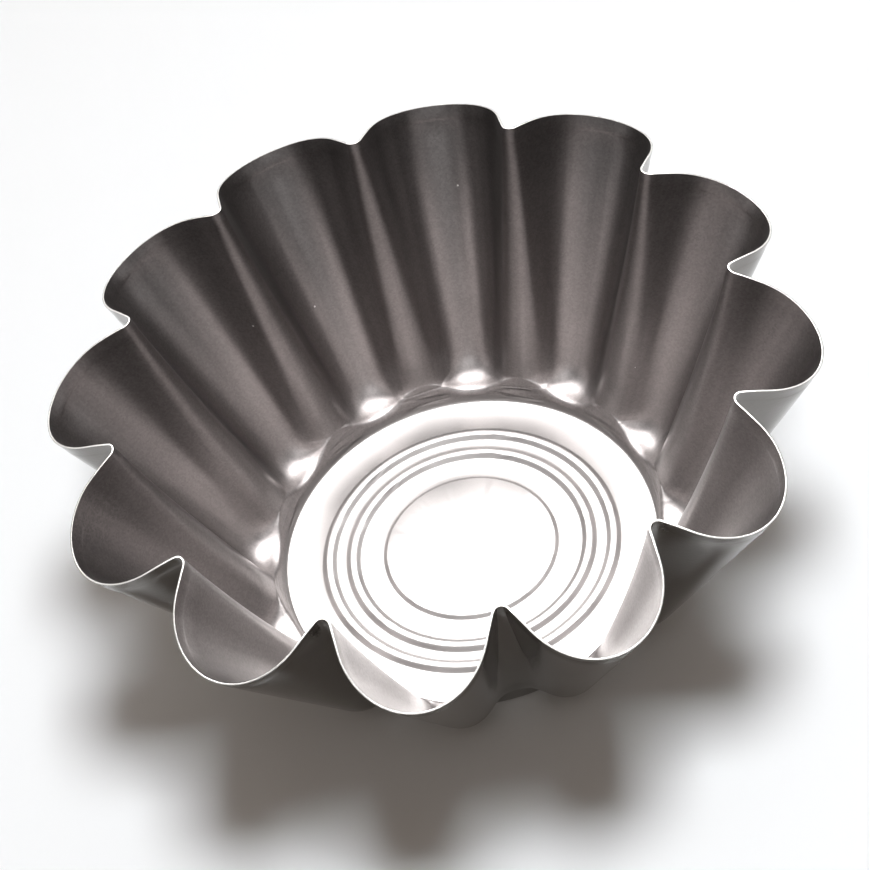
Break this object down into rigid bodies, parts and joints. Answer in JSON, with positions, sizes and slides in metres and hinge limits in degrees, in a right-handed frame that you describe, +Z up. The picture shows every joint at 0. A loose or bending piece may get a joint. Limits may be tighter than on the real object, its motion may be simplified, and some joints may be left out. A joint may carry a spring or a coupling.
{
  "type": "babka pan",
  "caption": "Fluted round baking pan, drawn from one steel sheet, with wide lobes, a wavy cut rim, a flat floor with pressed rings and a dark non-stick lining.",
  "frame": {"origin": "middle of the flat ring on which the pan stands, on the table", "axes": "+Z up along the pan's axis, +X through the crown of a lobe"},
  "size_m": [0.221, 0.221, 0.09],
  "materials": {
    "bare_steel": "bright cut edge and satin cold-rolled underside",
    "nonstick_coat": "smooth satin-gloss dark grey non-stick coat with fine metallic flake",
    "outer_coat": "smooth satin-gloss dark grey heat-resistant lacquer"
  },
  "bodies": {
    "root": {"steel_shell": "bare_steel", "nonstick_lining": "nonstick_coat", "outer_lacquer": "outer_coat"}
  },
  "joints": []
}
